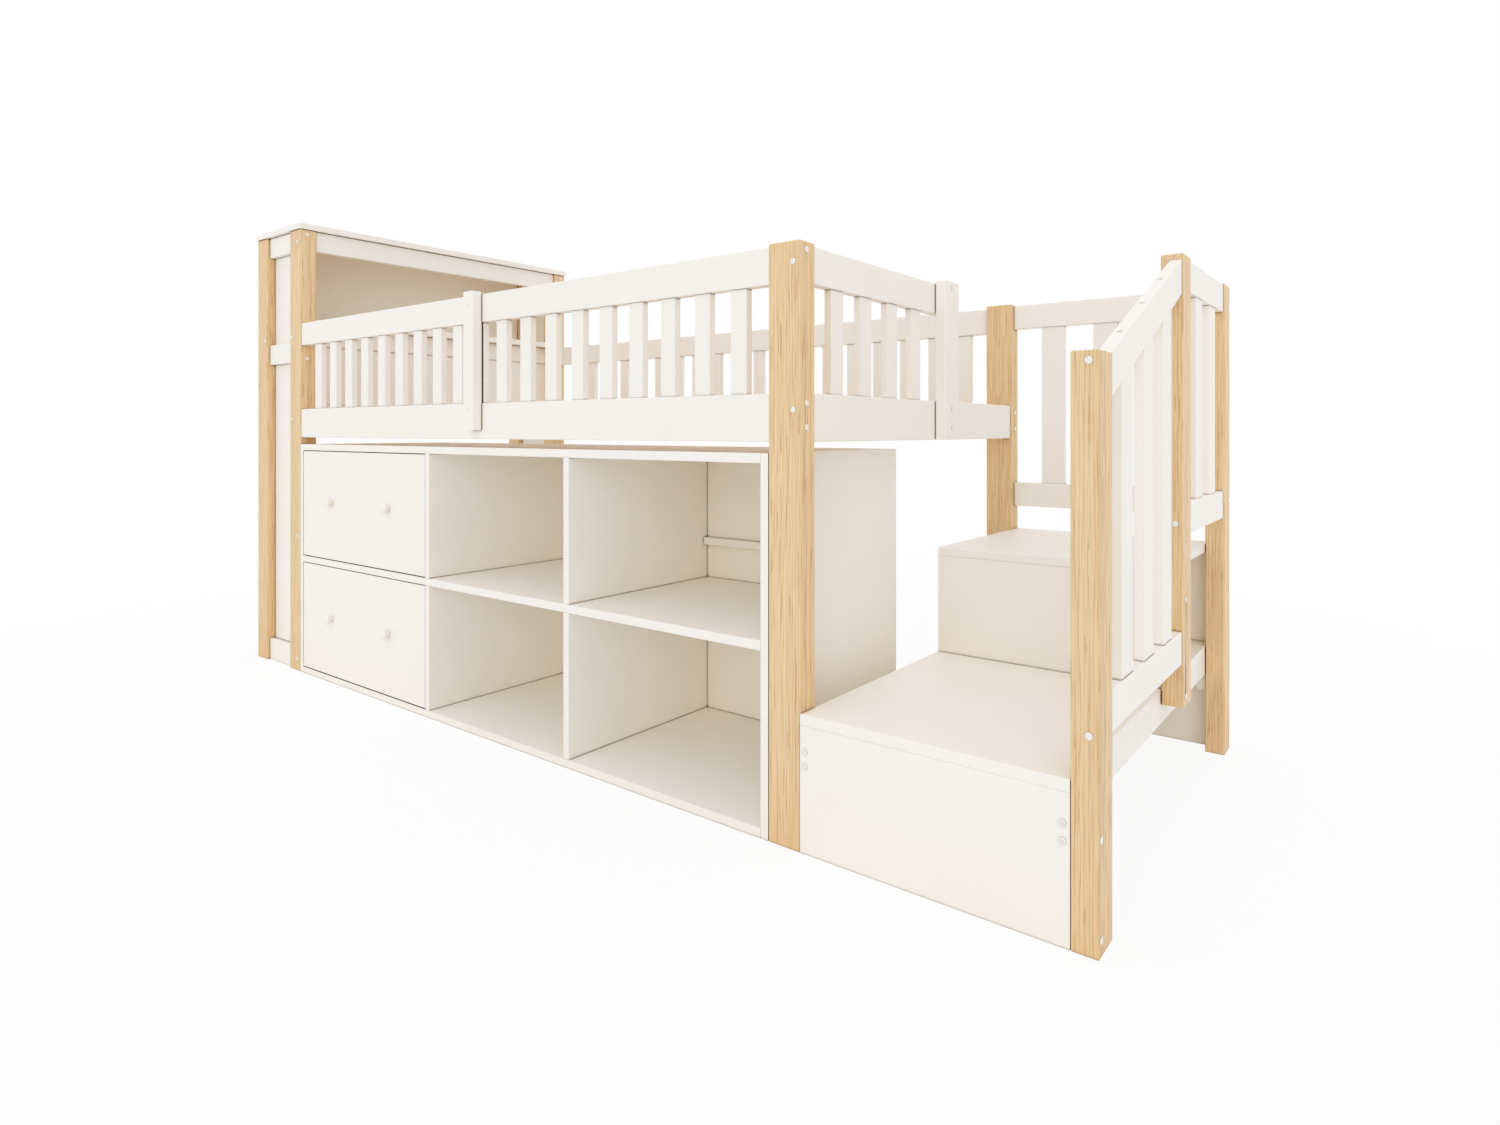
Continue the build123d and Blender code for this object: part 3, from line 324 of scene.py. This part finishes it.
for name, obj in NODES.items():
    finish(obj, FINISH.get(name, PANEL))
    if name not in REDRAWN:
        ease_edges(obj)


# Turned pieces: a profile of (radius, height) turned about an outward axis

def metres(profile, rise=1.0):
    """A profile in metres, with its heights multiplied by rise."""
    return [(radius * MM, height * rise * MM) for radius, height in profile]


def turned(mesh, at, out, profile, sides):
    out = Vector(out).normalized()
    across = out.orthogonal().normalized()
    up = out.cross(across)
    rings = []
    for radius, height in profile:
        if radius == 0:
            rings.append([mesh.verts.new(at + out * height)])
            continue
        ring = []
        for k in range(sides):
            turn = 2 * pi * k / sides
            spoke = across * cos(turn) + up * sin(turn)
            ring.append(mesh.verts.new(at + out * height + spoke * radius))
        rings.append(ring)
    for low, high in zip(rings, rings[1:]):
        for k in range(sides):
            n = (k + 1) % sides
            if len(low) == 1:
                corners = (low[0], high[n], high[k])
            elif len(high) == 1:
                corners = (low[k], low[n], high[0])
            else:
                corners = (low[k], low[n], high[n], high[k])
            mesh.faces.new(corners)


def piece(name, mesh, mat, body):
    bmesh.ops.recalc_face_normals(mesh, faces=mesh.faces)
    data = bpy.data.meshes.new(name)
    mesh.to_mesh(data)
    mesh.free()
    for face in data.polygons:
        face.use_smooth = True
    data.materials.append(mat)
    obj = bpy.data.objects.new(name, data)
    bpy.context.scene.collection.objects.link(obj)
    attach(obj, body)
    return obj


# Knobs with a turned neck and a domed crown

KNOB_PAINT = paint("white_knobs", (0.895, 0.873, 0.838), "Y", 0.30, 0.0)
KNOB = (
    (0, 0), (8.9, 0), (9.0, 0.4), (8.8, 1.0), (7.9, 2.2), (7.0, 3.8), (6.6, 5.4), (6.7, 7.2),
    (7.5, 8.8), (9.3, 10.3), (11.6, 11.4), (13.2, 12.6), (13.9, 14.0), (14.0, 15.2),
    (13.6, 16.6), (12.4, 18.3), (10.2, 19.9), (7.2, 21.1), (3.7, 21.8), (0, 22.0),
)
KNOB_RADIUS = 0.014
KNOB_SIDES = 40

for row in ("upper", "lower"):
    node = f"{row}_drawer_knobs"
    low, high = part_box(node)
    mesh = bmesh.new()
    for x in (low[X] + KNOB_RADIUS, high[X] - KNOB_RADIUS):
        turned(mesh, Vector((x, high[Y], centre(node, Z))), (0, -1, 0), metres(KNOB), KNOB_SIDES)
    knobs = piece(f"{row}_knobs_turned", mesh, KNOB_PAINT, f"{row}_drawer")
    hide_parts(node)


# Profiles of the caps, screw heads and plugs

CAP = (
    (0, -0.2), (6.0, -0.2), (6.0, 0.55), (5.75, 0.95), (5.0, 1.25), (3.8, 1.42), (2.6, 1.48),
    (2.2, 1.35), (1.4, 1.05), (0, 1.0),
)
SCREW = (
    (0, -0.2), (6.4, -0.2), (6.4, 0.7), (6.0, 1.2), (4.8, 1.6), (3.0, 1.8), (2.6, 1.0), (0, 1.0),
)
PLUG = ((0, -0.2), (5.0, -0.2), (5.0, 0.1), (4.6, 0.3), (0, 0.35))
CAP_SIDES = 24
# The caps on the side uprights lie almost flat, as these are the widest pieces of the bed
FLAT_RISE = 0.3

# Heights of the caps above the floor
FOOT_SIDE_Z = (1.070, 0.800)
FOOT_END_Z = (1.093, 0.812, 0.768)
HEAD_SIDE_Z = (
    ("head_fascia_rail", 1.363), ("headboard_rail", 1.062), ("headboard_rail", 0.800),
    ("head_cross_rails", 0.428), ("head_cross_rails", 0.037),
)
HEAD_OUTER_SIDE_Z = 1.062
HEAD_INNER_END_Z = (1.387, 0.992)
HEAD_OUTER_END_Z = (1.370, 1.015, 0.035)
SIDE_RAIL_Z = (0.812, 0.768)
SIDE_UPRIGHT_Z = (1.072, 0.8135)
ENTRY_RAIL_Z = (0.864, 0.320)
FRONT_PANEL_Z = (0.170, 0.025)
RISER_Z = (0.4315, 0.2405)
HANGING_Z = 0.580
LAST_RAIL_Z = (1.057, 0.595)
REAR_PANEL_Z = (0.383, 0.028)

# How far a cap lies in from a post's edge, by what its bolt holds
POST_IN = 0.020
RAIL_IN = 0.015
BOARD_IN = 0.0095


def face(node, axis, way):
    """The place of one face of a node's box: way is -1 or 1 along the axis."""
    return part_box(node)[0 if way < 0 else 1][axis]


def bed_caps(way, side):
    """Caps of the posts at the front or the rear of the bed: each its place and the way out."""
    foot = f"foot_post_{side}"
    inner = f"head_post_{side}_inner"
    outer = f"head_post_{side}_outer"
    out_y = face(foot, Y, way)
    out = (0, way, 0)
    caps = []
    for z in FOOT_SIDE_Z:
        caps.append(((centre("foot_end_rail", X), out_y, z), out))
    for z in FOOT_END_Z:
        caps.append(((face(foot, X, 1), out_y - way * POST_IN, z), (1, 0, 0)))
    for rail, z in HEAD_SIDE_Z:
        caps.append(((centre(rail, X), out_y, z), out))
    caps.append(((face(outer, X, 1) - RAIL_IN, out_y, HEAD_OUTER_SIDE_Z), out))
    for z in HEAD_INNER_END_Z:
        caps.append(((face(inner, X, 1), out_y - way * POST_IN, z), (1, 0, 0)))
    for z in HEAD_OUTER_END_Z:
        caps.append(((face(outer, X, -1), out_y - way * POST_IN, z), (-1, 0, 0)))
    for z in SIDE_RAIL_Z:
        caps.append(((face(inner, X, -1), out_y - way * RAIL_IN, z), (-1, 0, 0)))
    return caps


def upright_caps(way):
    node = "side_guard_uprights"
    return [((centre(node, X), face(node, Y, way), z), (0, way, 0)) for z in SIDE_UPRIGHT_Z]


def stair_caps():
    """Caps of the foot upright and of the three stair posts."""
    upright = "foot_guard_upright"
    entry = "stair_post_entry"
    hanging = "stair_post_hanging"
    last = "stair_post_rear"
    handrail_x = centre("stair_handrail", X)
    stair_x = face(entry, X, 1)
    last_y = face(last, Y, 1)
    caps = []
    for z in FOOT_END_Z:
        caps.append(((face(upright, X, 1), centre(upright, Y), z), (1, 0, 0)))
    for z in ENTRY_RAIL_Z:
        caps.append(((handrail_x, face(entry, Y, -1), z), (0, -1, 0)))
    for z in FRONT_PANEL_Z:
        caps.append(((stair_x, face(entry, Y, -1) + BOARD_IN, z), (1, 0, 0)))
    for z in RISER_Z:
        caps.append(((stair_x, centre("stair_riser", Y), z), (1, 0, 0)))
    caps.append(((handrail_x, face(hanging, Y, -1), HANGING_Z), (0, -1, 0)))
    for z in LAST_RAIL_Z:
        caps.append(((stair_x, last_y - RAIL_IN, z), (1, 0, 0)))
        caps.append(((handrail_x, last_y, z), (0, 1, 0)))
    for z in REAR_PANEL_Z:
        caps.append(((stair_x, last_y - BOARD_IN, z), (1, 0, 0)))
    return caps


# Round caps of the bolts, on the faces that they sit on

FIXING_PAINT = paint("white_fixings", (0.86, 0.855, 0.84), "Z", 0.28, 0.0)
mesh = bmesh.new()
for at, out in bed_caps(-1, "front") + bed_caps(1, "rear") + stair_caps():
    turned(mesh, Vector(at), out, metres(CAP), CAP_SIDES)
for at, out in upright_caps(-1) + upright_caps(1):
    turned(mesh, Vector(at), out, metres(CAP, FLAT_RISE), CAP_SIDES)
bolt_caps = piece("bolt_caps", mesh, FIXING_PAINT, "bed_frame")
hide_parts("frame_bolts")


# Screw heads on the stairs' front panel

PANEL_SCREW_LEFT_IN = 0.011
PANEL_SCREW_RIGHT_IN = 0.012
PANEL_SCREW_Z = (0.184, 0.1575)

mesh = bmesh.new()
panel = "stair_front_panel"
for x in (face(panel, X, -1) + PANEL_SCREW_LEFT_IN, face(panel, X, 1) - PANEL_SCREW_RIGHT_IN):
    for z in PANEL_SCREW_Z:
        at = Vector((x, face(panel, Y, -1), z))
        turned(mesh, at, (0, -1, 0), metres(SCREW), CAP_SIDES)
piece("panel_screw_heads", mesh, FIXING_PAINT, "bed_frame")


# Plugs along the top of the sloped handrail

HANDRAIL_END_RISE = 0.070
PLUG_SHARES = (0.19, 0.475, 0.75)

low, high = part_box("stair_handrail")
start = Vector((centre("stair_handrail", X), low[Y], low[Z] + HANDRAIL_END_RISE))
run = Vector((0, high[Y] - low[Y], high[Z] - low[Z] - HANDRAIL_END_RISE))
slope_up = Vector((0, -run.z, run.y)).normalized()
mesh = bmesh.new()
for share in PLUG_SHARES:
    turned(mesh, start + run * share, slope_up, metres(PLUG), CAP_SIDES)
PLUG_PAINT = paint("sunk_plugs", (0.66, 0.64, 0.60), "Y", 0.5, 0.1)
piece("handrail_plugs", mesh, PLUG_PAINT, "bed_frame")


# Floor

FLOOR_RADIUS = 40
FLOOR_SIDES = 64
FLOOR_Z = -0.0005
SHADOW_FADE = (1.6, 3.6)
BACKGROUND_SHARE = (0.88, 1.0)


def only_seen(tree):
    """1 for camera, mirror and see-through rays, which show the plain background."""
    path = tree.nodes.new("ShaderNodeLightPath")
    total = path.outputs["Is Camera Ray"]
    for name in ("Is Glossy Ray", "Is Transmission Ray"):
        node = add(tree, "ShaderNodeMath", operation="MAXIMUM")
        tree.links.new(total, node.inputs[0])
        tree.links.new(path.outputs[name], node.inputs[1])
        total = node.outputs[0]
    return total


def blended(tree, share, plain, shown, out):
    """Two shaders by a share, joined to the tree's output."""
    blend = tree.nodes.new("ShaderNodeMixShader")
    tree.links.new(share, blend.inputs[0])
    tree.links.new(plain.outputs[0], blend.inputs[1])
    tree.links.new(shown.outputs[0], blend.inputs[2])
    tree.links.new(blend.outputs[0], out.inputs[0])


def floor_material():
    """Pale floor that keeps the shadow near the bed and fades into the background."""
    mat = bpy.data.materials.new("floor_white")
    tree = cleared(mat)
    out = tree.nodes.new("ShaderNodeOutputMaterial")
    plain = add(tree, "ShaderNodeBsdfDiffuse", Color=(0.92, 0.915, 0.905, 1))
    white = add(tree, "ShaderNodeEmission", Color=(1, 1, 1, 1), Strength=1.0)
    place = tree.nodes.new("ShaderNodeTexCoord")
    away = add(tree, "ShaderNodeVectorMath", operation="LENGTH")
    tree.links.new(place.outputs["Object"], away.inputs[0])
    fade = add(tree, "ShaderNodeMapRange", interpolation_type="SMOOTHSTEP")
    for socket, value in zip(list(fade.inputs)[1:5], SHADOW_FADE + BACKGROUND_SHARE):
        socket.default_value = value
    tree.links.new(away.outputs["Value"], fade.inputs[0])
    share = add(tree, "ShaderNodeMath", operation="MULTIPLY")
    tree.links.new(only_seen(tree), share.inputs[0])
    tree.links.new(fade.outputs[0], share.inputs[1])
    blended(tree, share.outputs[0], plain, white, out)
    return mat


mesh = bmesh.new()
rim = []
for k in range(FLOOR_SIDES):
    turn = 2 * pi * k / FLOOR_SIDES
    rim.append(mesh.verts.new((FLOOR_RADIUS * cos(turn), FLOOR_RADIUS * sin(turn), FLOOR_Z)))
mesh.faces.new(rim)
data = bpy.data.meshes.new("floor")
mesh.to_mesh(data)
mesh.free()
data.materials.append(floor_material())
floor = bpy.data.objects.new("floor", data)
bpy.context.scene.collection.objects.link(floor)


# Light

ROOM_LIGHT = 0.845


def lamp(name, towards, strength, spread):
    light = bpy.data.lights.new(name, "SUN")
    light.energy = strength * pi
    light.angle = spread
    obj = bpy.data.objects.new(name, light)
    obj.rotation_euler = Vector(towards).to_track_quat("-Z", "Y").to_euler()
    bpy.context.scene.collection.objects.link(obj)


world = bpy.data.worlds.new("studio")
bpy.context.scene.world = world
tree = cleared(world)
out = tree.nodes.new("ShaderNodeOutputWorld")
soft = add(tree, "ShaderNodeBackground", Color=(1.0, 0.995, 0.985, 1), Strength=ROOM_LIGHT)
seen = add(tree, "ShaderNodeBackground", Color=(1, 1, 1, 1), Strength=1.0)
blended(tree, only_seen(tree), soft, seen, out)

lamp("key", (-0.15, 0.20, -0.97), 0.12, radians(50))
lamp("room", (-0.50, 0.75, -0.30), 0.115, radians(40))
# Enough bounces for light to reach the backs of the open bays
bpy.context.scene.cycles.diffuse_bounces = 10
bpy.context.scene.cycles.max_bounces = 14
bpy.context.scene.view_settings.view_transform = "Standard"


# Camera: level, with the photo's upright lines kept upright by its shift

CAMERA_LENS = 19.93
CAMERA_SHIFT_X = -0.07
CAMERA_SHIFT_Y = -0.0877
CAMERA_PLACE = (1.81945, -1.6719, 0.7614)
CAMERA_YAW = radians(34.32)

camera = bpy.data.cameras.new("camera")
camera.sensor_fit = "HORIZONTAL"
camera.sensor_width = 36
camera.lens = CAMERA_LENS
camera.shift_x = CAMERA_SHIFT_X
camera.shift_y = CAMERA_SHIFT_Y
camera.clip_end = 200
view = bpy.data.objects.new("camera", camera)
view.location = CAMERA_PLACE
view.rotation_euler = (radians(90), 0, CAMERA_YAW)
bpy.context.scene.collection.objects.link(view)
bpy.context.scene.camera = view
